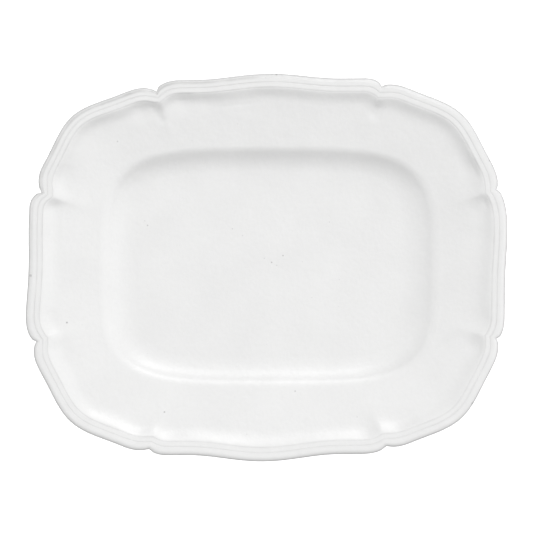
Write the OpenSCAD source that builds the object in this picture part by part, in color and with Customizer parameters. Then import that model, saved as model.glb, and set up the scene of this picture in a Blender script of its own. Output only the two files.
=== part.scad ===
// Large serving platter in white-glazed earthenware. A slab of clay is pressed into a well, a
// sloping border and a scalloped rim, which is two flat bands with a scored line inside each and
// a rolled lip outside them. It stands on a luted foot ring. White glaze covers all of it but
// the tread of the foot.
//
// Millimetres. The origin is in the middle of the outline, in the plane that the foot rests on.
// +X runs along the length, +Y across the width and +Z up.

/* [Outline] */
// Overall length of the glazed platter
length = 420; // [380:5:460]
// Overall width of the glazed platter
width = 338; // [310:2:366]
// Half-width of each lobe's middle crest, as a share of the lobe's chord
crest_reach = 0.33; // [0.2:0.01:0.4]
// Corners along each of the eight lobes
lobe_steps = 12; // [8:1:16]

/* [Well] */
// Length of the well at its brow
well_length = 301; // [270:1:310]
// Width of the well at its brow
well_width = 213; // [190:1:220]
// How square the well's plan is: 2 is an ellipse
well_squareness = 3.9; // [2.5:0.1:5]
// Radius of the concave cove round the floor
cove_radius = 28; // [18:0.5:32]
// Steepest slope of the well's wall, in degrees
cove_slope = 44; // [38:1:60]
// Radius of the convex brow where the wall turns into the border
brow_radius = 13; // [4:0.5:15]

/* [Border and rim] */
// Steady rise of the border from the brow to the bands
border_rise = 7.5; // [4:0.5:12]
// Further rise of the hollow that carries the border up to the bands
hollow_rise = 3.9; // [2:0.1:5]
// Widths of the two flat bands along the rim, inner to outer
band_widths = [4.8, 2.8]; // [2.4:0.2:6]
// Width of the scored line inside each band
score_width = 1.2; // [0.6:0.1:1.4]
// Depth of the scored lines
score_depth = 0.45; // [0.2:0.05:0.8]
// Width over which the lip outside the bands is rolled
lip_round = 4.8; // [2:0.2:7]
// Thickness of the rolled lip
lip_thickness = 6; // [4:0.25:7]

/* [Wall and foot] */
// Thickness of the pressed clay
wall = 5; // [4:0.25:6]
// Thickness of the glaze
glaze = 0.5; // [0.3:0.05:0.8]
// Height of the foot ring
foot_height = 3.5; // [3:0.25:5]
// Width of the foot ring's tread
foot_width = 5.5; // [4:0.5:8]
// Distance from the well's brow in to the outside of the foot ring
foot_inset = 22; // [20:0.5:24]
// Height above the ground at which the glaze is wiped off the foot
glaze_line = 1.2; // [0.8:0.1:2]

/* [Hidden] */

// Middle of the well, a little off the middle of the outline
well_middle = [2.5, 0.5];
// Half-sizes of the rectangle that the sections through the wall fan out from
hub = [55, 20];

// One row for each lobe of the lip, anticlockwise from the lower right notch. The columns are
// the notch that it starts at, the heights of its shoulders beside that notch and beside the
// next one, the distances over which they swell out, the rise of the lobe's arc, and the height
// and place of its middle crest. The outline fits them to the overall length and width.
LOBES = [
    [[201.5, -61.5], [7, 8.5], [18, 28], 0, [1.5, 0.70]],
    [[201.5, 68.5], [6, 6], [14, 14], 18, [5, 0.50]],
    [[101, 158.5], [7.5, 10], [14, 20], 0, [4.7, 0.50]],
    [[-96, 154], [8, 9.5], [14, 14], 18, [5.8, 0.52]],
    [[-196.5, 66], [10.3, 10.3], [14, 24], 0, [-1.2, 0.53]],
    [[-201, -64], [8, 6.5], [14, 14], 18, [5.3, 0.52]],
    [[-102, -157], [6.3, 7.5], [14, 20], 0, [6, 0.48]],
    [[104.5, -154.5], [5.5, 6.5], [14, 14], 18, [5, 0.47]]
];

// Share of the even spacing that is given up to crowd the corners towards the notches
crowding = 0.6;

floor_level = foot_height + wall;
cove_run = cove_radius * sin(cove_slope);
cove_rise = cove_radius * (1 - cos(cove_slope));
// Slope of the border where it leaves the brow, in degrees
border_slope = 7;
brow_run = brow_radius * (sin(cove_slope) - sin(border_slope));
brow_level = floor_level + cove_rise + brow_radius * (cos(border_slope) - cos(cove_slope));
// Place across the border, as a share of it, where the hollow under the rim starts
hollow_start = 0.62;
// Nominal distance from the brow to the lip, for the direction in which the glaze lies
border_span = 64;
rim_level = brow_level + border_rise + hollow_rise;
// Distance from the lip in to the scored line inside each band
score_depths = [band_widths[0] + band_widths[1] + lip_round, band_widths[1] + lip_round];
rim_width = score_depths[0] + score_width / 2;
// Depth of the lip's outermost line below the level of the rim
lip_waist = 0.7 * lip_thickness;
// Slope of the wall's back where the foot ring meets it, in degrees
foot_slope = asin(max(0, cove_run + brow_run - foot_inset) / (cove_radius + wall));

// Swell of a lobe's outline beyond its chord, at the share t of a chord of the given size
function swell(lobe, t, chord) =
    let (swollen = min(1, t * chord / lobe[2][0], (1 - t) * chord / lobe[2][1]))
    let (shoulder = (lobe[1][0] * (1 - t) + lobe[1][1] * t) * sqrt(swollen * (2 - swollen)))
    let (off_crest = min(1, abs(t - lobe[4][1]) / crest_reach))
    shoulder + 4 * lobe[3] * t * (1 - t) + lobe[4][0] * pow(cos(90 * off_crest), 2);

function lobe_point(k, t) =
    let (start = LOBES[k][0], end = LOBES[(k + 1) % len(LOBES)][0])
    let (along = end - start, out = [along.y, -along.x] / norm(along))
    start + along * t + out * swell(LOBES[k], t, norm(along));

// Position along a chord of step j, closer together towards both notches
function crowded(j) = j / lobe_steps - crowding * sin(360 * j / lobe_steps) / (2 * PI);

sketch = [for (k = [0 : len(LOBES) - 1]) for (j = [0 : lobe_steps - 1]) lobe_point(k, crowded(j))];
sketch_low = [min([for (p = sketch) p.x]), min([for (p = sketch) p.y])];
sketch_high = [max([for (p = sketch) p.x]), max([for (p = sketch) p.y])];
sketch_middle = (sketch_low + sketch_high) / 2;
sketch_size = sketch_high - sketch_low;
clay_size = [length - 2 * glaze, width - 2 * glaze];

// Outline of the clay lip, centred on the origin
outline = [for (p = sketch)
    [for (i = [0 : 1]) (p[i] - sketch_middle[i]) * clay_size[i] / sketch_size[i]]];
corners = len(outline);

// Each section through the wall is a ray: the point it starts from and the way it runs
roots = [for (p = outline) [for (i = [0 : 1]) max(-hub[i], min(hub[i], p[i]))]];
ways = [for (i = [0 : corners - 1]) (outline[i] - roots[i]) / norm(outline[i] - roots[i])];

function in_well(p) =
    pow(abs(p.x - well_middle.x) * 2 / well_length, well_squareness)
    + pow(abs(p.y - well_middle.y) * 2 / well_width, well_squareness) < 1;

// Distance along ray i to the well's brow, found by halving the span it must lie in
function brow_reach(i, near = 0, far = 200, halvings = 20) =
    halvings == 0 ? near :
    let (mid = (near + far) / 2)
    in_well(roots[i] + ways[i] * mid)
        ? brow_reach(i, mid, far, halvings - 1)
        : brow_reach(i, near, mid, halvings - 1);

brow_reaches = [for (i = [0 : corners - 1]) brow_reach(i)];
lip_reaches = [for (i = [0 : corners - 1]) norm(outline[i] - roots[i])];

// A station of the profile is [share, offset, level]: a share of the way from the brow (0) to
// the lip (1), then an offset outwards and a height above the ground.
function reach(i, station) =
    brow_reaches[i] * (1 - station[0]) + lip_reaches[i] * station[0] + station[1];
function plan(station) = [for (i = [0 : corners - 1]) roots[i] + ways[i] * reach(i, station)];
function ring(station) = [for (p = plan(station)) [p.x, p.y, station[2]]];

function cove_station(slope, radius) =
    [0, radius * sin(slope) - cove_run - brow_run, floor_level + cove_radius - radius * cos(slope)];
function brow_station(slope) =
    [0, brow_radius * (sin(cove_slope) - sin(slope)) - brow_run,
     brow_level - brow_radius * (cos(border_slope) - cos(slope))];
// Height of the hollow at the share v of its width, which is steepest just short of the bands
function hollow(v) = hollow_rise * (5 * pow(v, 4) - 4 * pow(v, 5));
function border_level(share) =
    brow_level + border_rise * share
    + hollow(max(0, share - hollow_start) / (1 - hollow_start));
function border_station(share, depth) = [share, -rim_width * share, border_level(share) - depth];
// Point on the scored line inside band n: side -1 is its inner edge, 0 its bottom, 1 its outer edge
function score_station(n, side) =
    [1, side * score_width / 2 - score_depths[n], rim_level - (side == 0 ? score_depth : 0)];
// Point on the rounded edge of the lip, at the angle given above its waist
function lip_station(angle) =
    [1, lip_round * (cos(angle) - 1),
     rim_level - lip_waist + (angle > 0 ? lip_waist : lip_thickness - lip_waist) * sin(angle)];

// Stations of the pressed face, from the floor out to the edge of the lip
face_stations = [
    for (slope = [0 : cove_slope / 3 : cove_slope]) cove_station(slope, cove_radius),
    brow_station((cove_slope + border_slope) / 2),
    brow_station(border_slope),
    for (share = [0.3, hollow_start, 0.75, 0.85, 0.93]) border_station(share, 0),
    for (n = [0 : 1]) for (side = [-1 : 1]) score_station(n, side),
    for (angle = [90 : -22.5 : 0]) lip_station(angle)
];
// Stations of the back, from under the lip in to the root of the foot ring
back_stations = [
    lip_station(-90),
    [1, -rim_width, rim_level - wall],
    border_station(hollow_start, wall),
    [0, 1, brow_level - wall],
    for (share = [0.7, 0.45, 0.2])
        cove_station(foot_slope + (cove_slope - foot_slope) * share, cove_radius + wall),
    [0, -foot_inset, foot_height]
];
clay_stations = concat(face_stations, back_stations);
foot_stop = [0, -foot_inset, glaze_line];
bonded_stations = concat(clay_stations, [foot_stop]);

// Place of a station in the nominal section, and the same station moved out by the glaze
function place(station) = [station[0] * border_span + station[1], station[2]];
function glazed(stations, k) =
    let (before = place(stations[max(0, k - 1)]))
    let (after = place(stations[min(len(stations) - 1, k + 1)]))
    let (run = (after - before) / norm(after - before))
    stations[k] + glaze * [0, -run.y, run.x];
glazed_stations = [for (k = [0 : len(bonded_stations) - 1]) glazed(bonded_stations, k)];

// Solid whose rings run out over the top and back in underneath, closed by a cap at each end
module shell(rings) {
    last = len(rings) - 1;
    points = [for (r = rings) each r];
    sides = [for (r = [0 : last - 1]) for (i = [0 : corners - 1])
        let (next = (i + 1) % corners, inner = r * corners, outer = inner + corners)
        each [[inner + i, inner + next, outer + next], [inner + i, outer + next, outer + i]]];
    top_cap = [for (i = [corners - 1 : -1 : 0]) i];
    bottom_cap = [for (i = [0 : corners - 1]) last * corners + i];
    polyhedron(points, concat([top_cap], sides, [bottom_cap]), convexity = 6);
}

// Pressed clay: floor, cove, border, hollow, bands and lip, and their plain back
module clay_body() {
    color("wheat") shell([for (s = clay_stations) ring(s)]);
}

// Coil of clay luted under the edge of the floor and ground flat
module foot_ring() {
    color("burlywood") linear_extrude(foot_height) difference() {
        polygon(plan([0, -foot_inset, 0]));
        polygon(plan([0, -foot_inset - foot_width, 0]));
    }
}

// White glaze over the face, round the lip and down the back to the wiped line on the foot
module glaze_coat() {
    outside = [for (s = glazed_stations) ring(s)];
    inside = [for (k = [len(bonded_stations) - 1 : -1 : 0]) ring(bonded_stations[k])];
    color("white") shell(concat(outside, inside));
}

// White glaze over the base inside the foot ring and down the ring's inner side
module base_glaze() {
    inset = -foot_inset - foot_width;
    color("ivory") shell([
        ring([0, inset, foot_height]),
        ring([0, inset, glaze_line]),
        ring([0, inset - glaze, glaze_line]),
        ring([0, inset - glaze, foot_height - glaze])
    ]);
}

clay_body();
foot_ring();
glaze_coat();
base_glaze();
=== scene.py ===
"""Looks of a large white-glazed serving platter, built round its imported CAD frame.

The platter is a pressed slab of clay on a luted foot ring, under a white glaze. Sections through
it lie along rays that fan out from a small rectangle, and each section follows one profile from
the middle of the floor out to the lip and back in underneath to the foot.

Lengths are in millimetres, and MM turns them into the metres of the frame.
"""

import math

import bpy
import numpy as np
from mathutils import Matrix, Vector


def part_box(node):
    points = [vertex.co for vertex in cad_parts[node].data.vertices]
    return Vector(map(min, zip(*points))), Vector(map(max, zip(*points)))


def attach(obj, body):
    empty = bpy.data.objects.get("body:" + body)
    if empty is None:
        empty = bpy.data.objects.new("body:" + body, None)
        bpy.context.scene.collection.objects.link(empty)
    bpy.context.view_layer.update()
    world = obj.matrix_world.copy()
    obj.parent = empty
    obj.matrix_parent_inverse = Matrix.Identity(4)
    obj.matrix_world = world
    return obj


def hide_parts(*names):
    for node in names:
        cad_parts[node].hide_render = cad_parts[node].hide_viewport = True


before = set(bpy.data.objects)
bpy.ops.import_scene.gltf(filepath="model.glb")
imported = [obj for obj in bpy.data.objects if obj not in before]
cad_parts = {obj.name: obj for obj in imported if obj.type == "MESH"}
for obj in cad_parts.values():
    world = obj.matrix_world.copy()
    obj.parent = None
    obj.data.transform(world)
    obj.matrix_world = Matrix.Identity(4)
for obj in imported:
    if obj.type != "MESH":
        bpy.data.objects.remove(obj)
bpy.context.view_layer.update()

MM = 0.001

# ---------------------------------------------------------------- sizes from the frame

coat_low, coat_high = (np.array(corner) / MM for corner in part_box("glaze_coat"))
LENGTH, WIDTH = (coat_high - coat_low)[:2]
GLAZE_LINE = coat_low[2]
FOOT_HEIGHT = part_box("foot_ring")[1].z / MM

# ---------------------------------------------------------------- sizes of the design

GLAZE = 0.5
WALL = 5.0
FOOT_WIDTH = 5.5
FOOT_INSET = 22.0

WELL_MIDDLE = np.array([2.5, 0.5])
WELL_HALF = np.array([150.5, 106.5])
WELL_SQUARENESS = 3.9
# Half-sizes of the rectangle that the rays fan out from
HUB_HALF = np.array([55.0, 20.0])

COVE_RADIUS = 28.0
COVE_SLOPE = math.radians(44)
BROW_RADIUS = 13.0
# The pressed wall of the well is stretched inwards by these shares: it is steep on the far side
# and gentle at the two ends.
STRETCH_FAR, STRETCH_NEAR, STRETCH_ENDS = 0.88, 1.06, 1.28
BORDER_SLOPE = math.radians(7)
BORDER_RISE = 7.5
BORDER_SPAN = 63.0

# The hollow that carries the border up to the rim is narrower along the far side, and its width
# wanders by a share all round.
HOLLOW_RISE = 3.9
HOLLOW_WIDTH = 20.0
HOLLOW_NARROWING = 5.0
HOLLOW_WANDER = 0.3

# The rim is two flat bands between scored lines, and a rounded lip outside them. The bands tilt
# up by a share of their width along the near side, and the clay is a little thinner under them.
BANDS_WIDTH = 12.0
BAND_TILT = 0.11
LIP_ROUND = 4.4
LIP_RISE = 3.8
LIP_DROP = 1.8
RIM_WALL = WALL - 0.6

# The bands follow a calmer line than the lip: the spread over which it is averaged, the share by
# which the bands go over to it, and the least sine that is allowed between it and a ray.
CALM_SPREAD = 5.0
CALM_SHARE = 0.6
LEAST_SINE = 0.85

# Scored lines: distance inwards from the finished edge, depth and half-width. Each is darkened by
# painted shade, with a half-width and a strength.
GROOVES = [(12.2, 0.28, 0.50), (7.6, 0.30, 0.50), (3.1, 0.38, 0.60)]
GROOVE_SHADE = [(0.9, 0.30), (0.9, 0.24), (1.3, 0.65)]
# Distance round the edge of the lip over which the glaze is thin and the edge is painted darker as
# shade, except along the far side
THIN_AND_SHADED_REACH = 1.6

# One row for each lobe of the lip, anticlockwise from the lower right notch: the notch that it
# starts at, the heights of its two shoulders, the distances over which they swell out, the rise
# of the lobe's arc, and the height and place of its middle crest.
LOBES = [
    [(201.5, -61.5), (7, 8.5), (18, 28), 0, (1.5, 0.70)],
    [(201.5, 68.5), (6, 6), (14, 14), 18, (5, 0.50)],
    [(101, 158.5), (7.5, 10), (14, 20), 0, (4.7, 0.50)],
    [(-96, 154), (8, 9.5), (14, 14), 18, (5.8, 0.52)],
    [(-196.5, 66), (10.3, 10.3), (14, 24), 0, (-1.2, 0.53)],
    [(-201, -64), (8, 6.5), (14, 14), 18, (5.3, 0.52)],
    [(-102, -157), (6.3, 7.5), (14, 20), 0, (6, 0.48)],
    [(104.5, -154.5), (5.5, 6.5), (14, 14), 18, (5, 0.47)],
]
# Half-width of a lobe's crest as a share of its chord, the steps along each lobe, and the share
# of even spacing that is given up to crowd the steps towards the notches
CREST_REACH = 0.33
LOBE_STEPS = 55
CROWDING = 0.6

# The glaze rounds the notches over the first distance, and over the second along the near side,
# which starts at one distance from the middle and comes in fully over another.
NOTCH_SPREAD, NEAR_NOTCH_SPREAD = 0.8, 2.2
NEAR_START, NEAR_FADE = 90.0, 60.0

FLOOR = FOOT_HEIGHT + WALL
COVE_RUN = COVE_RADIUS * math.sin(COVE_SLOPE)
COVE_RISE = COVE_RADIUS * (1 - math.cos(COVE_SLOPE))
BROW_RUN = BROW_RADIUS * (math.sin(COVE_SLOPE) - math.sin(BORDER_SLOPE))
BROW_LEVEL = FLOOR + COVE_RISE + BROW_RADIUS * (math.cos(BORDER_SLOPE) - math.cos(COVE_SLOPE))
RIM_LEVEL = BROW_LEVEL + BORDER_RISE + HOLLOW_RISE

# ---------------------------------------------------------------- plan


def lobe_outline(lobe, next_lobe):
    """Points along one lobe of the lip, from its own notch up to the next one."""
    notch, heights, spreads, arc, (crest_height, crest_place) = lobe
    start, end = np.array(notch, float), np.array(next_lobe[0], float)
    chord = np.linalg.norm(end - start)
    along = (end - start) / chord
    out = np.array([along[1], -along[0]])
    step = np.arange(LOBE_STEPS) / LOBE_STEPS
    t = step - CROWDING * np.sin(2 * math.pi * step) / (2 * math.pi)
    swollen = np.minimum(1, np.minimum(t * chord / spreads[0], (1 - t) * chord / spreads[1]))
    shoulder = (heights[0] * (1 - t) + heights[1] * t) * np.sqrt(swollen * (2 - swollen))
    off_crest = np.minimum(1, np.abs(t - crest_place) / CREST_REACH)
    crest = crest_height * np.cos(math.pi / 2 * off_crest) ** 2
    swell = shoulder + 4 * arc * t * (1 - t) + crest
    return start + np.outer(t * chord, along) + np.outer(swell, out)


def finished_outline():
    """Outline of the glazed lip, centred on the origin and fitted to the frame."""
    sketch = np.vstack([lobe_outline(a, b) for a, b in zip(LOBES, LOBES[1:] + LOBES[:1])])
    low, high = sketch.min(0), sketch.max(0)
    return (sketch - (low + high) / 2) * [LENGTH, WIDTH] / (high - low)


def brow_reaches(roots, ways, farthest=200.0, halvings=30):
    """Distance along each ray to the well's brow, found by halving."""
    near, far = np.zeros(len(roots)), np.full(len(roots), farthest)
    for _ in range(halvings):
        mid = (near + far) / 2
        place = np.abs(roots + ways * mid[:, None] - WELL_MIDDLE) / WELL_HALF
        inside = (place**WELL_SQUARENESS).sum(1) < 1
        near, far = np.where(inside, mid, near), np.where(inside, far, mid)
    return near


def averaged(values, path, spread):
    """Values along a closed path, averaged over a spread of its length."""
    steps = np.linalg.norm(np.roll(path, -1, 0) - path, axis=1)
    place = np.cumsum(steps) - steps
    gap = np.abs(place[:, None] - place[None, :])
    gap = np.minimum(gap, steps.sum() - gap)
    weight = np.exp(-0.5 * (gap / spread) ** 2) * (steps + np.roll(steps, 1))[None, :]
    return weight / weight.sum(1, keepdims=True) @ values


def rounded_at_notches(path):
    """The outline with its notches rounded by the glaze, and more so along the near side."""
    sharp, blunt = (averaged(path, path, s) for s in (NOTCH_SPREAD, NEAR_NOTCH_SPREAD))
    near = np.clip(-path[:, 1:] / NEAR_FADE - NEAR_START / NEAR_FADE, 0, 1)
    return sharp + (blunt - sharp) * near


outline = rounded_at_notches(finished_outline())
roots = np.clip(outline, -HUB_HALF, HUB_HALF)
lip_reach = np.linalg.norm(outline - roots, axis=1)
ways = (outline - roots) / lip_reach[:, None]
brow_reach = brow_reaches(roots, ways)

# The stretch of the well's wall depends on the way that the wall faces.
brow_place = (roots + ways * brow_reach[:, None] - WELL_MIDDLE) / WELL_HALF
facing = np.sign(brow_place) * np.abs(brow_place) ** (WELL_SQUARENESS - 1) / WELL_HALF
facing /= np.linalg.norm(facing, axis=1)[:, None]
wall_stretch = STRETCH_ENDS + facing[:, 1] ** 2 * (
    np.where(facing[:, 1] > 0, STRETCH_FAR, STRETCH_NEAR) - STRETCH_ENDS
)

# The bands lie at a steady distance from a calmer line than the lip, in which the notches are
# only shallow dips, so that a notch grows rounder and shallower from band to band.
calm_reach = averaged(lip_reach, outline, CALM_SPREAD)
calm_line = roots + ways * calm_reach[:, None]
calm_run = np.roll(calm_line, -1, 0) - np.roll(calm_line, 1, 0)
calm_run /= np.linalg.norm(calm_run, axis=1)[:, None]
sine = calm_run[:, 1] * ways[:, 0] - calm_run[:, 0] * ways[:, 1]
slant = 1 / np.maximum(LEAST_SINE, sine)


def reach_at_depth(depth):
    """Reach of every ray where a line runs that is this deep inside the lip."""
    calm = np.clip(depth / (BANDS_WIDTH - 1), 0, 1) ** 2
    calm = calm * (3 - 2 * calm) * CALM_SHARE
    return lip_reach + calm * (calm_reach - lip_reach) - depth * slant


# ---------------------------------------------------------------- profile
# A profile is a line through the nominal section: rows of place and level. Places run from 0 at
# the well's brow to BORDER_SPAN at the inner edge of the bands and on out to the lip.


def hollow(depth, width=HOLLOW_WIDTH):
    """Rise of the hollow that carries the border up to the bands."""
    inwards = np.clip((BANDS_WIDTH + width - depth) / width, 0, 1)
    return HOLLOW_RISE * (5 * inwards**4 - 4 * inwards**5)


def nominal_depth(place):
    """Distance inwards from the finished edge of a place in the profile."""
    return BORDER_SPAN + BANDS_WIDTH - place


def line(place, level):
    """Rows of place and level, from numbers or arrays."""
    return np.stack(np.broadcast_arrays(*map(np.atleast_1d, (place, level))), 1).astype(float)


def cove(slopes, radius):
    """Concave turn from the floor up into the well's wall."""
    return line(
        radius * np.sin(slopes) - COVE_RUN - BROW_RUN,
        FLOOR + COVE_RADIUS - radius * np.cos(slopes),
    )


def brow(slopes):
    """Convex turn from the well's wall out into the border."""
    return line(
        BROW_RADIUS * (math.sin(COVE_SLOPE) - np.sin(slopes)) - BROW_RUN,
        BROW_LEVEL - BROW_RADIUS * (math.cos(BORDER_SLOPE) - np.cos(slopes)),
    )


def border(places, drop):
    """Border and bands, or a line that runs at the drop under them."""
    share = np.clip(places / BORDER_SPAN, 0, 1)
    return line(places, BROW_LEVEL + BORDER_RISE * share + hollow(nominal_depth(places)) - drop)


def lip_roll(angles):
    """Rounded edge of the lip, from the outer band down and under."""
    height = np.where(angles > 0, LIP_RISE, LIP_DROP) * np.sin(angles)
    middle = BORDER_SPAN + BANDS_WIDTH - GLAZE - LIP_ROUND
    return line(middle + LIP_ROUND * np.cos(angles), RIM_LEVEL - LIP_RISE + height)


def face_profile():
    """Pressed face of the clay, from the edge of the floor to under the lip."""
    hollow_start, hollow_end = BORDER_SPAN - HOLLOW_WIDTH, BORDER_SPAN - 2
    bands_end = BORDER_SPAN + BANDS_WIDTH - GLAZE - LIP_ROUND
    return np.vstack([
        cove(np.linspace(0, COVE_SLOPE, 15)[:-1], COVE_RADIUS),
        brow(np.linspace(COVE_SLOPE, BORDER_SLOPE, 11)[:-1]),
        border(np.linspace(0, hollow_start, 19)[:-1], 0),
        border(np.linspace(hollow_start, hollow_end, 17)[:-1], 0),
        border(np.linspace(hollow_end, bands_end, 34)[:-1], 0),
        lip_roll(np.radians(np.linspace(90, 50, 12)[:-1])),
        lip_roll(np.radians(np.linspace(50, -85, 12))),
    ])


def back_profile():
    """Plain back of the clay, from under the lip in to the root of the foot."""
    lip_back = BORDER_SPAN + BANDS_WIDTH - 5
    return np.vstack([
        border(np.linspace(lip_back, BORDER_SPAN, 4)[:-1], RIM_WALL),
        border(np.linspace(BORDER_SPAN - 1, 3, 12), WALL),
        cove(np.linspace(0.9, 0.22, 8) * COVE_SLOPE, COVE_RADIUS + WALL),
        line(-FOOT_INSET, FOOT_HEIGHT),
    ])


def moved_out(profile, gap):
    """The profile moved out along its normals."""
    run = np.gradient(profile, axis=0)
    run /= np.linalg.norm(run, axis=1)[:, None]
    return profile + gap * np.stack([-run[:, 1], run[:, 0]], 1)


def softened(profile, radius):
    """The profile smoothed over a radius, as glaze fills grooves and rounds edges."""
    steps = np.linalg.norm(np.diff(profile, axis=0), axis=1)
    place = np.concatenate([[0], np.cumsum(steps)])
    weight = np.exp(-0.5 * ((place[:, None] - place[None, :]) / radius) ** 2)
    weight *= np.gradient(place)[None, :]
    soft = weight @ profile / weight.sum(1)[:, None]
    soft[0], soft[-1] = profile[0], profile[-1]
    return soft


def rings(profile, face_rows=0, scored=False):
    """Ring of points round the platter for each row of a profile.

    The first rows, as many as face_rows says, lie on the pressed face.
    """
    edge_reach = reach_at_depth(BANDS_WIDTH)
    layers = []
    for k, (place, level) in enumerate(profile):
        if place > BORDER_SPAN:
            reach = reach_at_depth(nominal_depth(place))
        elif place > 0:
            reach = brow_reach + (edge_reach - brow_reach) * place / BORDER_SPAN
        else:
            reach = brow_reach + place * (wall_stretch if k < face_rows else 1)
        depth = BANDS_WIDTH + np.maximum(0, edge_reach - reach) / slant
        plan = roots + ways * reach[:, None]
        levels = level + hollow(depth, hollow_width)
        levels = levels - hollow(max(BANDS_WIDTH, nominal_depth(place)))
        levels = levels + band_tilt * np.clip(place - BORDER_SPAN, 0, BANDS_WIDTH)
        levels = levels + border_relief(plan) * np.clip(
            (BORDER_SPAN + 1 - place) / RELIEF_FADE, 0, 1
        )
        if scored and k < face_rows:
            for (at, cut, half), strength in zip(GROOVES, groove_strengths):
                gap = (nominal_depth(place) - at) / half
                levels = levels - cut * strength * np.exp(-(gap**2))
        layers.append(np.column_stack([plan, levels]))
    return np.stack(layers)


def floor_rings(edge, count):
    """Rings that close the floor inside its edge ring, smallest first."""
    middle = np.array([*WELL_MIDDLE, edge[0, 2]])
    shares = np.linspace(0, 1, count + 1)[1:-1]
    return np.stack([middle + (edge - middle) * share for share in shares])


# ---------------------------------------------------------------- unevenness of handwork


def waves(points, size, seed, count=6):
    """Smooth unevenness over the plan, within -1 to 1, with features of about that size."""
    draw = np.random.default_rng(seed)
    total = np.zeros(points.shape[:-1])
    for _ in range(count):
        turn = draw.uniform(0, 2 * math.pi)
        pitch = size * draw.uniform(0.7, 1.6)
        phase = draw.uniform(0, 2 * math.pi)
        along = points[..., 0] * math.cos(turn) + points[..., 1] * math.sin(turn)
        total += np.sin(2 * math.pi * along / pitch + phase)
    return total / count


def ridge(plan, notch, way, height):
    """Ridge that runs inwards from a notch between the hollows of two lobes."""
    inwards = (notch - plan) @ way
    aside = (plan - notch) @ np.array([-way[1], way[0]])
    fade = np.clip(1 - inwards / RIDGE_REACH, 0, 1) ** 1.5 * (inwards > 0)
    fallen = 1 - hollow(inwards + RIDGE_SETBACK) / HOLLOW_RISE
    spread = RIDGE_SPREAD + RIDGE_FLARE * np.clip(inwards, 0, RIDGE_REACH)
    return height * fade * fallen * np.exp(-np.sqrt((aside / spread) ** 2 + RIDGE_BLUNTNESS))


def drag_mark(plan, start, end, radius, depth):
    """Shallow trough between two points, which fades towards both."""
    run = np.subtract(end, start)
    share = np.clip((plan - start) @ run / (run @ run), 0, 1)
    gap = np.linalg.norm(plan - start - np.outer(share, run), axis=1) / radius
    return depth * np.exp(-(gap**2)) * np.sin(math.pi * np.clip(share, 0.05, 0.95))


def border_relief(plan):
    """Ridges at the notches, the scoops on either side of them and the drag marks."""
    total = np.zeros(len(plan))
    for k, height in enumerate(RIDGES):
        total += ridge(plan, outline[k * LOBE_STEPS], ways[k * LOBE_STEPS], height)
    for middle, radius, depth in SCOOPS:
        total -= depth * np.exp(-((plan - middle) ** 2).sum(1) / radius**2)
    for mark in DRAG_MARKS:
        total -= drag_mark(plan, *mark)
    return total


def warped(points):
    """The points after the slight warp of drying and firing."""
    half = np.array([LENGTH, WIDTH]) / 2
    out = np.linalg.norm(points[..., :2] / half, axis=-1)
    free = np.clip((out - STIFF_SHARE) / (1 - STIFF_SHARE), 0, 1) ** 2
    result = points.copy()
    result[..., 2] += WARP_HEIGHT * free * waves(points, WARP_SIZE, seed=3)
    return result


near_side, far_side = np.clip(-ways[:, 1], 0, 1), np.clip(ways[:, 1], 0, 1)
band_tilt = BAND_TILT * near_side
hollow_width = HOLLOW_WIDTH - HOLLOW_NARROWING * far_side
hollow_width *= 1 + HOLLOW_WANDER * waves(outline, 70, seed=8)

# The warp's height, the size of its waves, and the share of the plan that the well holds stiff
WARP_HEIGHT = 0.4
WARP_SIZE = 260
STIFF_SHARE = 0.6

# Distance inside the bands over which the relief of the border dies away
RELIEF_FADE = 7

# Height of the ridge at each notch, then the ridges' length, setback from the lip, half-width,
# flare and bluntness
RIDGES = [3.4, 3.8, 3.8, 4.2, 3.8, 3.2, 2.4, 2.6]
RIDGE_REACH = 42.0
RIDGE_SETBACK = 5
RIDGE_SPREAD = 3.5
RIDGE_FLARE = 0.08
RIDGE_BLUNTNESS = 0.03

# Scoops pressed into the border beside the notches and in the corners: middle, radius and depth
SCOOPS = [
    ((-108, 140), 9, 3.2),
    ((-98.5, 142), 5, 3.6),
    ((-95, 136), 4.5, 2.4),
    ((-91, 129), 4, 1.2),
    ((-72, 149), 9, 4.2),
    ((-52, 147), 9, 1.2),
    ((-148, 119), 18, 1.4),
    ((-177, 83), 11, 1.0),
    ((-188, 54), 8, 0.7),
    ((-191, -46), 9, 0.8),
    ((-175, -79), 12, 1.0),
    ((-118, -138), 11, 0.7),
    ((-80, -143), 11, 0.7),
    ((84, -141), 12, 0.8),
    ((120, -134), 12, 0.8),
    ((184, -69), 9, 2.0),
    ((190, -46), 9, 0.9),
    ((192, 58), 6.5, 2.8),
    ((186, 50), 8, 0.8),
    ((180, 88), 10, 3.2),
    ((171, 101), 12, 1.0),
    ((146, 124), 14, 0.8),
    ((118, 136), 10, 0.6),
    ((96.5, 140), 4.5, 2.6),
    ((94, 134), 4.5, 2.0),
    ((84, 144), 10, 0.5),
]

# Faint marks dragged over the border in pressing: ends, half-width and depth
DRAG_MARKS = [
    ((-46, 139), (-6, 144), 1.8, 0.28),
    ((-34, 135), (-8, 138.5), 1.8, 0.25),
    ((174, -55), (143, -75), 3.0, 0.55),
]

# The two scored lines between the bands are cut unevenly and more faintly along the near side.
# Each has an unevenness, the size of its waves and a seed.
UNEVENNESS = [(0.25, 120, 5), (0.30, 90, 6)]
NEAR_FAINTNESS = 0.35
# The third one, on the lip, is faint along the far side and clear only on the far left.
THIRD_FAR = 0.3
THIRD_MIDDLE, THIRD_SPREAD = math.radians(124), math.radians(42)
angles = np.arctan2(outline[:, 1], outline[:, 0]) - THIRD_MIDDLE
angles = np.where(angles < -math.pi, angles + 2 * math.pi, angles)
# The same strengths also scale the painted shade in each scored line.
groove_strengths = [
    1 + share * waves(outline, size, seed) - NEAR_FAINTNESS * near_side
    for share, size, seed in UNEVENNESS
]
groove_strengths.append(np.maximum(THIRD_FAR * far_side, np.exp(-((angles / THIRD_SPREAD) ** 2))))

# ---------------------------------------------------------------- meshes


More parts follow.
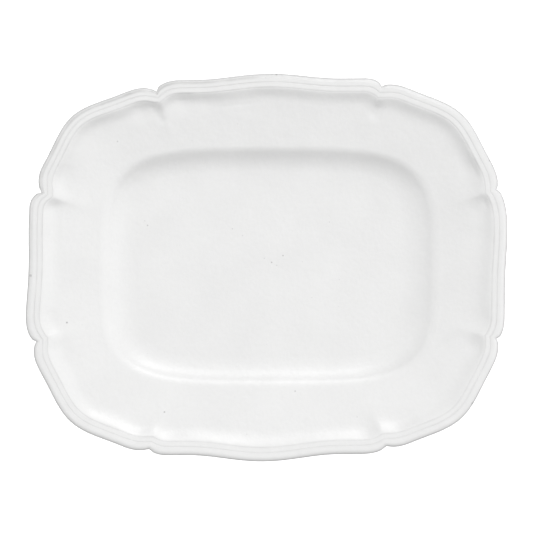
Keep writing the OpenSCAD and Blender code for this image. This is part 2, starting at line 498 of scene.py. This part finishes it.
def make_mesh(name, layers, start_cap=True, end_cap=True, loop=False):
    """Mesh object from rings of points, which run out over the top and back in underneath."""
    count, around = layers.shape[:2]
    points = layers.reshape(-1, 3)
    index = np.arange(count * around).reshape(count, around)
    inner = index if loop else index[:-1]
    outer = np.roll(index, -1, 0) if loop else index[1:]
    quads = np.stack([inner, outer, np.roll(outer, -1, 1), np.roll(inner, -1, 1)], -1)
    faces = quads.reshape(-1, 4).tolist()
    caps = []
    if start_cap:
        caps.append((index[0], False))
    if end_cap:
        caps.append((index[-1], True))
    for edge, facing_down in caps:
        hub = len(points)
        points = np.vstack([points, points[edge].mean(0)])
        for a, b in zip(edge.tolist(), np.roll(edge, -1).tolist()):
            faces.append([hub, b, a] if facing_down else [hub, a, b])
    mesh = bpy.data.meshes.new(name)
    mesh.from_pydata((points * MM).tolist(), [], faces)
    mesh.polygons.foreach_set("use_smooth", np.ones(len(faces), bool))
    mesh.update()
    piece = bpy.data.objects.new(name, mesh)
    bpy.context.scene.collection.objects.link(piece)
    return piece


# Edges of the foot's tread are worn round by these distances, along it and up its sides.
TREAD_WEAR, CORNER_WEAR = 0.9, 0.3
# Radius over which the glaze softens the section
GLAZE_SOFTNESS = 0.45
# Rings that close the floor of the glaze, and of the clay
FLOOR_RINGS, CLAY_FLOOR_RINGS = 6, 3
# One in so many rows of the face is kept in the clay.
FACE_STRIDE = 6

clay_profile = np.vstack([face_profile(), back_profile()])
foot_stop = line(-FOOT_INSET, np.linspace(FOOT_HEIGHT - 0.6, GLAZE_LINE, 4))
bonded_profile = np.vstack([clay_profile, foot_stop])
coat_profile = softened(moved_out(bonded_profile, GLAZE), GLAZE_SOFTNESS)
FACE_ROWS = len(face_profile())


def thinned(profile):
    """The few stations of a profile that the clay needs to stay under its glaze.

    The scooped hollow and the back keep all of their own.
    """
    rows, places = np.arange(len(profile)), profile[:, 0]
    hollowed = (places > BORDER_SPAN - HOLLOW_WIDTH) & (places < BORDER_SPAN + 1)
    return profile[(rows >= FACE_ROWS) | hollowed | (rows % FACE_STRIDE == 0)]


THINNED_FACE = len(thinned(face_profile()))


def make_clay_body():
    """Pressed slab of clay."""
    face = rings(thinned(clay_profile), THINNED_FACE)
    layers = np.concatenate([floor_rings(face[0], CLAY_FLOOR_RINGS), face])
    return make_mesh("platter_clay", warped(layers))


def wear_and_shade():
    """Share of grey in each row of the coat: thin glaze with painted shade on the lip's edge, left
    off the far side, and painted shade in the scored lines.
    """
    lip = coat_profile[coat_profile[:, 0].argmax()]
    from_lip = np.linalg.norm(coat_profile - lip, axis=1)
    # At the lip the grey is clay under thin glaze and also painted shade on the edge that faces
    # away from the light, so it is left off the far side.
    worn_and_shaded = np.outer(np.exp(-((from_lip / THIN_AND_SHADED_REACH) ** 2)), 1 - far_side)
    face_depths = nominal_depth(coat_profile[:FACE_ROWS, 0])
    # Painted shade along each scored line, scaled by the line's strength.
    for (at, _, _), (reach, share), strength in zip(GROOVES, GROOVE_SHADE, groove_strengths):
        groove_shade = share * np.exp(-(((face_depths - at) / reach) ** 2))
        worn_and_shaded[:FACE_ROWS] += np.outer(groove_shade, strength)
    return np.minimum(1, worn_and_shaded)


def make_glaze_coat():
    """Glaze over the face, round the lip and down the back to the foot."""
    face = rings(coat_profile, FACE_ROWS, scored=True)
    outside = np.concatenate([floor_rings(face[0], FLOOR_RINGS), face])
    bonded = rings(thinned(bonded_profile), THINNED_FACE)
    inside = np.concatenate([floor_rings(bonded[0], CLAY_FLOOR_RINGS), bonded])[::-1]
    piece = make_mesh("platter_glaze", warped(np.concatenate([outside, inside])))
    worn_and_shaded = wear_and_shade()
    values = np.zeros(len(piece.data.vertices))
    start = (len(outside) - len(face)) * len(outline)
    values[start : start + worn_and_shaded.size] = worn_and_shaded.ravel()
    piece.data.attributes.new("worn_and_shaded", "FLOAT", "POINT").data.foreach_set("value", values)
    return piece


def make_foot_ring():
    """Coil of clay under the floor, with rounded edges to its ground tread."""
    inset = -FOOT_INSET - FOOT_WIDTH
    outer = -FOOT_INSET - np.array([0, 0, CORNER_WEAR, TREAD_WEAR])
    inner = inset + np.array([TREAD_WEAR, CORNER_WEAR, 0])
    side = np.array([FOOT_HEIGHT, TREAD_WEAR, CORNER_WEAR, 0])
    section = line(np.array([inset, *outer, *inner]), np.array([FOOT_HEIGHT, *side, *side[:0:-1]]))
    return make_mesh("foot_clay", rings(section), start_cap=False, end_cap=False, loop=True)


def make_base_glaze():
    """Glaze over the base inside the foot ring."""
    inset = -FOOT_INSET - FOOT_WIDTH
    bonded = rings(line(inset, np.array([FOOT_HEIGHT, GLAZE_LINE])))
    face = rings(line(
        inset - GLAZE * np.array([1, 1, 1.5, 3]),
        np.array([GLAZE_LINE, *(FOOT_HEIGHT - GLAZE * np.array([2.5, 1.5, 1]))]),
    ))
    layers = np.concatenate([
        floor_rings(bonded[0], CLAY_FLOOR_RINGS), bonded,
        face, floor_rings(face[-1], FLOOR_RINGS)[::-1],
    ])
    return make_mesh("base_glaze_skin", layers)


# ---------------------------------------------------------------- materials

# Pinholes in the glaze: place, radius and strength
PINHOLES = [
    (-174, -48, 1.0, 0.6),
    (-104.5, 37, 0.9, 0.35),
    (-107, 41, 0.7, 0.2),
    (4.5, 4.5, 0.9, 0.45),
    (14.5, 10.5, 0.9, 0.40),
    (9, 2, 0.7, 0.25),
    (-2, 8, 0.7, 0.20),
    (-30, 34, 0.8, 0.25),
    (-21, 28, 0.7, 0.20),
    (-89, -126, 1.0, 0.45),
    (-130, 110, 0.9, 0.30),
    (25, -108, 0.9, 0.35),
    (-205, -7, 1.6, 0.35),
    (179, -118, 1.6, 0.3),
    (8.7, 168, 1.2, 0.4),
    (197, 89, 1.3, 0.4),
    (194, 93, 1.0, 0.4),
]
# Share of a pinhole's radius within which it is at full strength
PINHOLE_CORE = 0.4
# Colours of the glaze where it is thick and where it is thin, and of the grey that stands for clay
# showing through it and for painted shade
THICK_GLAZE, THIN_GLAZE = (0.815, 0.815, 0.812, 1), (0.885, 0.885, 0.882, 1)
FINE_GREY = (0.3, 0.3, 0.3, 1)
CLAY_AND_SHADE_GREY = (0.42, 0.42, 0.415, 1)
PIT_GREY = (0.16, 0.16, 0.16, 1)
DARK_CLAY, LIGHT_CLAY = (0.50, 0.40, 0.29, 1), (0.66, 0.57, 0.45, 1)


def new_material(name):
    """New material, its node tree and its shader."""
    material = bpy.data.materials.new(name)
    material.use_nodes = True
    tree = material.node_tree
    return material, tree, tree.nodes["Principled BSDF"]


def add_node(tree, kind, inputs=None, **settings):
    """New node with these settings, whose inputs are linked to sockets or set to values."""
    node = tree.nodes.new(kind)
    for key, value in settings.items():
        setattr(node, key, value)
    for key, value in (inputs or {}).items():
        if isinstance(value, bpy.types.NodeSocket):
            tree.links.new(value, node.inputs[key])
        else:
            node.inputs[key].default_value = value
    return node


def noise(tree, place, size, detail):
    """Grey noise whose features are about as large as the size, in millimetres."""
    node = add_node(
        tree, "ShaderNodeTexNoise", {"Vector": place, "Scale": 1 / (size * MM), "Detail": detail}
    )
    return node.outputs["Fac"]


def math_node(tree, operation, *values):
    """Result of one operation on numbers or sockets."""
    return add_node(tree, "ShaderNodeMath", dict(enumerate(values)), operation=operation).outputs[0]


def dots(tree, place):
    """How far each point lies in one of the pinholes of the glaze, from 0 to 1."""
    total = 0.0
    for x, y, radius, strength in PINHOLES:
        gap = add_node(
            tree, "ShaderNodeVectorMath", {0: place, 1: (x * MM, y * MM, 0)},
            operation="SUBTRACT",
        )
        flat = add_node(
            tree, "ShaderNodeVectorMath", {0: gap.outputs[0], 1: (1, 1, 0)}, operation="MULTIPLY"
        )
        reach = add_node(
            tree, "ShaderNodeVectorMath", {0: flat.outputs[0]}, operation="LENGTH"
        ).outputs["Value"]
        dot = add_node(
            tree, "ShaderNodeMapRange",
            {"Value": reach, "From Min": radius * MM, "From Max": PINHOLE_CORE * radius * MM,
             "To Max": strength},
        ).outputs["Result"]
        total = math_node(tree, "MAXIMUM", total, dot)
    return total


def specks(tree, place, pitch=8, bare_share=0.84):
    """Faint specks strewn over the glaze at random, a pitch apart, with a share left out."""
    cells = add_node(
        tree, "ShaderNodeTexVoronoi",
        {"Vector": place, "Scale": 1 / (pitch * MM), "Randomness": 1.0},
    )
    chosen = add_node(tree, "ShaderNodeSeparateColor", {"Color": cells.outputs["Color"]})
    picked = math_node(tree, "GREATER_THAN", chosen.outputs["Red"], bare_share)
    dot = add_node(
        tree, "ShaderNodeMapRange",
        {"Value": cells.outputs["Distance"], "From Min": 0.075, "From Max": 0.02},
    ).outputs["Result"]
    depth = math_node(tree, "MULTIPLY", picked, chosen.outputs["Green"])
    return math_node(tree, "MULTIPLY", dot, depth)


def mixed(tree, factor, first, second):
    """Colour between two colours."""
    node = add_node(
        tree, "ShaderNodeMix", {"Factor": factor, "A": first, "B": second}, data_type="RGBA"
    )
    return node.outputs[2]


def glaze_material():
    """White glaze that pools and thins, so that grey clay shows faintly along the lip, with painted
    shade on the lip's edge and in the scored lines.
    """
    material, tree, shader = new_material("white_glaze")
    place = add_node(tree, "ShaderNodeTexCoord").outputs["Object"]
    colour = mixed(tree, noise(tree, place, 36, 3), THICK_GLAZE, THIN_GLAZE)
    fine = math_node(tree, "MULTIPLY", noise(tree, place, 3, 4), 0.06)
    colour = mixed(tree, fine, colour, FINE_GREY)
    worn_and_shaded = add_node(tree, "ShaderNodeAttribute", attribute_name="worn_and_shaded").outputs["Fac"]
    patchy = add_node(
        tree, "ShaderNodeMapRange",
        {"Value": noise(tree, place, 14, 4), "From Min": 0.35, "From Max": 0.65, "To Min": 0.5},
    ).outputs["Result"]
    # The grey mixed in here is clay under thin glaze, and painted shade on the lip's edge and in
    # the scored lines.
    colour = mixed(tree, math_node(tree, "MULTIPLY", worn_and_shaded, patchy), colour, CLAY_AND_SHADE_GREY)
    marks = math_node(tree, "MULTIPLY", specks(tree, place), 0.35)
    marks = math_node(tree, "MAXIMUM", marks, dots(tree, place))
    colour = mixed(tree, marks, colour, PIT_GREY)
    tree.links.new(colour, shader.inputs["Base Color"])
    swell = math_node(tree, "MULTIPLY", noise(tree, place, 17, 2), 0.34 * MM)
    ripple = math_node(tree, "MULTIPLY", noise(tree, place, 6, 2), 0.28 * MM)
    tremor = math_node(tree, "MULTIPLY", noise(tree, place, 1.6, 2), 0.010 * MM)
    height = math_node(tree, "ADD", math_node(tree, "ADD", swell, ripple), tremor)
    bump = add_node(tree, "ShaderNodeBump", {"Height": height, "Strength": 1.0, "Distance": 1.0})
    tree.links.new(bump.outputs["Normal"], shader.inputs["Normal"])
    shader.inputs["Roughness"].default_value = 0.16
    shader.inputs["IOR"].default_value = 1.7
    return material


def clay_material():
    """Bare fired clay, matt and grainy."""
    material, tree, shader = new_material("bare_clay")
    place = add_node(tree, "ShaderNodeTexCoord").outputs["Object"]
    grain = noise(tree, place, 1 / (900 * MM), 4)
    tree.links.new(mixed(tree, grain, DARK_CLAY, LIGHT_CLAY), shader.inputs["Base Color"])
    bump = add_node(
        tree, "ShaderNodeBump", {"Height": grain, "Strength": 0.6, "Distance": 0.3 * MM}
    )
    tree.links.new(bump.outputs["Normal"], shader.inputs["Normal"])
    shader.inputs["Roughness"].default_value = 0.85
    return material


# ---------------------------------------------------------------- pieces

glaze = glaze_material()
clay = clay_material()
for make, node, material, slot in [
    (make_clay_body, "clay_body", clay, "clay"),
    (make_foot_ring, "foot_ring", clay, "bare_clay"),
    (make_glaze_coat, "glaze_coat", glaze, "glaze"),
    (make_base_glaze, "base_glaze", glaze, "glaze"),
]:
    piece = make()
    piece.data.materials.append(material)
    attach(piece, "root")
    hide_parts(node)

# ---------------------------------------------------------------- stage, light and camera

scene = bpy.context.scene
scene.view_settings.view_transform = "Standard"

# Half-width of the floor, half-width and height of the backdrop, and the softbox, in metres
FLOOR_HALF = 6.0
BACKDROP_HALF, BACKDROP_HEIGHT = 5.9, 4.0
WINDOW_PLACE, WINDOW_SIZE, WINDOW_POWER = (0.30, 1.30, 0.95), (0.8, 0.5), 0.4
# Glow of the floor under the platter, turned down there as a painted shadow, and in the open, and
# where it starts and ends to turn from one into the other, as shares of the platter's half-sizes
SHADED_GLOW, OPEN_GLOW = 0.1, 0.85
SHADE_START, SHADE_END = 0.7, 1.0


def square(half, height):
    """Corners of a level square round the origin."""
    return [(x * half, y * half, height) for x, y in [(-1, -1), (1, -1), (1, 1), (-1, 1)]]


def make_floor():
    """White floor that glows, less where the platter stands as a painted shadow, on top of the real
    shadow that the platter casts on it.
    """
    mesh = bpy.data.meshes.new("floor")
    mesh.from_pydata(square(FLOOR_HALF, 0), [], [(0, 1, 2, 3)])
    floor = bpy.data.objects.new("floor", mesh)
    scene.collection.objects.link(floor)
    material, tree, shader = new_material("floor_white")
    place = add_node(tree, "ShaderNodeTexCoord").outputs["Object"]
    shrunk = add_node(
        tree, "ShaderNodeMapping",
        {"Vector": place, "Scale": (2 / (LENGTH * MM), 2 / (WIDTH * MM), 1)},
    )
    out = add_node(
        tree, "ShaderNodeVectorMath", {0: shrunk.outputs["Vector"]}, operation="LENGTH"
    )
    # The glow is turned down under the platter as a painted shadow.
    glow = add_node(
        tree, "ShaderNodeMapRange",
        {"Value": out.outputs["Value"], "From Min": SHADE_START, "From Max": SHADE_END,
         "To Min": SHADED_GLOW, "To Max": OPEN_GLOW},
    )
    tree.links.new(glow.outputs["Result"], shader.inputs["Emission Strength"])
    shader.inputs["Base Color"].default_value = (0.9, 0.9, 0.9, 1)
    shader.inputs["Roughness"].default_value = 1.0
    shader.inputs["Specular IOR Level"].default_value = 0.0
    shader.inputs["Emission Color"].default_value = (1, 1, 1, 1)
    mesh.materials.append(material)
    floor.visible_diffuse = False
    floor.visible_glossy = False


def make_backdrop():
    """White wall all round, which takes no part in the light."""
    mesh = bpy.data.meshes.new("backdrop")
    points = square(BACKDROP_HALF, 0) + square(BACKDROP_HALF, BACKDROP_HEIGHT)
    mesh.from_pydata(points, [], [(k, k + 4, (k + 1) % 4 + 4, (k + 1) % 4) for k in range(4)])
    backdrop = bpy.data.objects.new("backdrop", mesh)
    scene.collection.objects.link(backdrop)
    material, _, shader = new_material("backdrop_white")
    shader.inputs["Base Color"].default_value = (0, 0, 0, 1)
    shader.inputs["Specular IOR Level"].default_value = 0.0
    shader.inputs["Emission Color"].default_value = (1, 1, 1, 1)
    shader.inputs["Emission Strength"].default_value = 1.0
    mesh.materials.append(material)
    backdrop.visible_diffuse = False
    backdrop.visible_glossy = False
    backdrop.visible_shadow = False


def make_world():
    """Soft light from all round, with broad panels in it."""
    world = bpy.data.worlds.new("studio")
    world.use_nodes = True
    scene.world = world
    tree = world.node_tree
    place = add_node(tree, "ShaderNodeTexCoord").outputs["Generated"]
    height = add_node(tree, "ShaderNodeSeparateXYZ", {"Vector": place}).outputs["Z"]
    total = add_node(
        tree, "ShaderNodeMapRange",
        {"Value": height, "From Min": -0.1, "From Max": 0.1, "To Min": BELOW, "To Max": ABOVE},
    ).outputs["Result"]
    for strength, azimuth, elevation, sharpness in PANELS:
        turn, lift = math.radians(azimuth), math.radians(elevation)
        way = (math.cos(lift) * math.cos(turn), math.cos(lift) * math.sin(turn), math.sin(lift))
        facing = add_node(
            tree, "ShaderNodeVectorMath", {0: place, 1: way}, operation="DOT_PRODUCT"
        )
        facing = math_node(tree, "MAXIMUM", facing.outputs["Value"], 0.0)
        panel = math_node(tree, "POWER", facing, sharpness)
        total = math_node(tree, "MULTIPLY_ADD", panel, strength, total)
    background = tree.nodes["Background"]
    tree.links.new(total, background.inputs["Strength"])
    background.inputs["Color"].default_value = (1, 1, 1, 1)


def make_softbox():
    """Small softbox on the far side, aimed at the platter."""
    lamp = bpy.data.lights.new("window", "AREA")
    lamp.shape = "RECTANGLE"
    lamp.size, lamp.size_y = WINDOW_SIZE
    lamp.energy = WINDOW_POWER
    box = bpy.data.objects.new("window", lamp)
    scene.collection.objects.link(box)
    box.location = WINDOW_PLACE
    box.rotation_mode = "QUATERNION"
    box.rotation_quaternion = (-Vector(WINDOW_PLACE)).to_track_quat("-Z", "Y")


def make_camera():
    """Straight down on the platter, a little off its middle, with a margin all round."""
    lens = bpy.data.cameras.new("camera")
    camera = bpy.data.objects.new("camera", lens)
    scene.collection.objects.link(camera)
    scene.camera = camera
    camera.location = (0, CAMERA_OFFSET * MM, (coat_high[2] + CAMERA_DISTANCE) * MM)
    lens.sensor_width = 36
    lens.lens = lens.sensor_width * CAMERA_DISTANCE / (PICTURE_WIDTH * LENGTH)


# The camera's distance above the lip, its offset towards the far side, and the picture's width as
# a share of the platter's length
CAMERA_DISTANCE = 2000.0
CAMERA_OFFSET = 0.9
PICTURE_WIDTH = 1.1035

# Light of the surroundings above and below the horizon, and the panels on it: an overhead one,
# one at each end, a broad window on the far side and what a white floor throws back from below.
# Each has a strength, the azimuth from +X and the elevation of its middle in degrees, and a
# sharpness.
ABOVE, BELOW = 0.38, 0.04
PANELS = [
    (0.5, 0, 90, 2),
    (0.95, 0, 25, 4),
    (0.6, 180, 25, 4),
    (1.8, 75, 30, 12),
    (0.5, 0, -90, 3),
]

make_floor()
make_backdrop()
make_world()
make_softbox()
make_camera()
